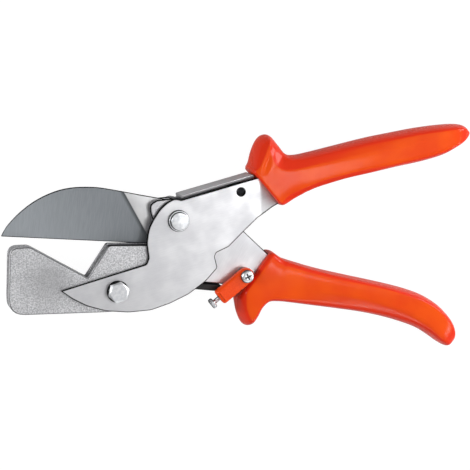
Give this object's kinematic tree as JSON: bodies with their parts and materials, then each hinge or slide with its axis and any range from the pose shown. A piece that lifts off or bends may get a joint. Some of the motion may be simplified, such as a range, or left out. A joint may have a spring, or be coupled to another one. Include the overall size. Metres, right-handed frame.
{
  "type": "pipe shears",
  "caption": "Hand shears for plastic pipe: a straight blade closes into the V of a slotted anvil, with dipped grips, an opening spring and a safety catch.",
  "frame": {"origin": "centre of the bounding box, on the flat surface that the tool lies on", "axes": "+X from the jaws towards the ends of the grips, +Y towards the upper grip, +Z out of the front plate"},
  "size_m": [0.2492, 0.1196, 0.0274],
  "materials": {
    "plated_steel": "bright nickel plating over fine brushing",
    "dark_plating": "grey plating, unpolished",
    "coated_blade": "ground, with a dark low-friction coat",
    "cast_grey": "bead-blasted casting",
    "bright_zinc": "bright zinc plating",
    "spring_steel": "drawn wire",
    "bronze": "turned",
    "orange_vinyl": "dipped, glossy",
    "black_rubber": "moulded, satin"
  },
  "bodies": {
    "anvil_half": {"front_plate": "plated_steel", "rear_shell": "plated_steel", "upper_grip": "orange_vinyl", "upper_rivet_1": "bright_zinc", "upper_rivet_2": "bright_zinc", "anvil": "cast_grey", "anvil_bolt": "bright_zinc", "anvil_nut": "bright_zinc", "anvil_dowel": "bright_zinc", "pivot_bolt": "bright_zinc", "pivot_nut": "bright_zinc", "spring_sleeve": "dark_plating", "opening_spring": "spring_steel", "stop_buffer": "black_rubber"},
    "blade_half": {"blade": "coated_blade", "front_cheek": "plated_steel", "rear_cheek": "plated_steel", "front_packing": "plated_steel", "rear_packing": "plated_steel", "pivot_bush": "bronze", "blade_rivet_1": "bright_zinc", "blade_rivet_2": "bright_zinc", "lower_core": "dark_plating", "lower_rivet_1": "bright_zinc", "lower_rivet_2": "bright_zinc", "lower_grip": "orange_vinyl", "catch_washer": "bright_zinc", "catch_screw": "bright_zinc"},
    "catch": {"catch_lever": "orange_vinyl"},
    "thumb_knob": {"thumb_screw": "bright_zinc"}
  },
  "joints": [
    {"name": "cutting_pivot", "type": "hinge", "parent": "anvil_half", "child": "blade_half", "pos_m": [-0.03381, 0.0085, 0.011], "axis": [0, 0, 1], "range_deg": [0, 22], "stiffness_Nm_per_rad": 0.4, "springref_deg": -40.11, "deforming": ["opening_spring"]},
    {"name": "catch_swing", "type": "hinge", "parent": "blade_half", "child": "catch", "pos_m": [0.00199, -0.0197, 0.011], "axis": [0, 0, -1], "range_deg": [0, 70]},
    {"name": "thumb_screw_travel", "type": "slide", "parent": "catch", "child": "thumb_knob", "axis": [-0.766, -0.6428, 0], "range_m": [-0.003, 0.003]}
  ]
}
